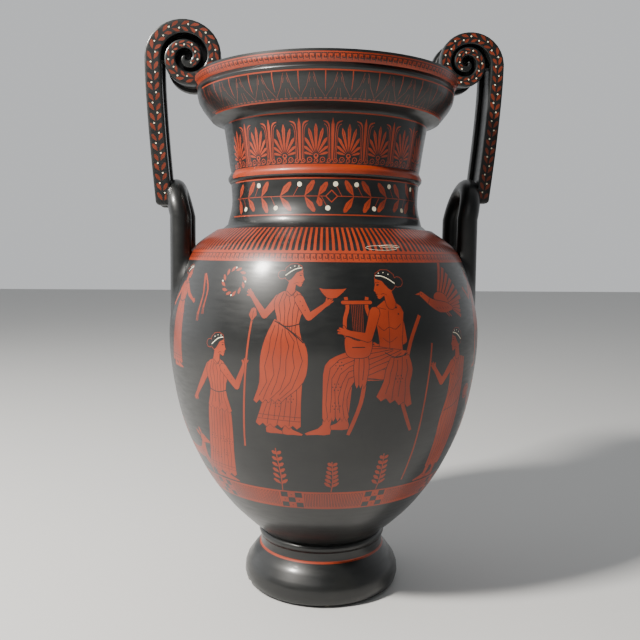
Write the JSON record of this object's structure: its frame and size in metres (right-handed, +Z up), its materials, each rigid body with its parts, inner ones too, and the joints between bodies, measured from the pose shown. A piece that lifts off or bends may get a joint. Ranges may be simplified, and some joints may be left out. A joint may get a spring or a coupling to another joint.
{
  "type": "volute krater",
  "caption": "Ceramic mixing vessel with a hollow foot, round belly, flared mouth and scroll handles, painted in red on black.",
  "frame": {"origin": "on the surface it stands on, under the middle of the object and on the vessel's axis", "axes": "+Z up along the vessel's axis, the handles stand at -X and +X, and the front of the painting faces -Y"},
  "size_m": [0.348, 0.3084, 0.5555],
  "materials": {
    "black_glaze": "satin black glaze over fired clay, with red-orange painted figures and patterns and small cream dots"
  },
  "bodies": {
    "root": {"krater": "black_glaze"}
  },
  "joints": []
}
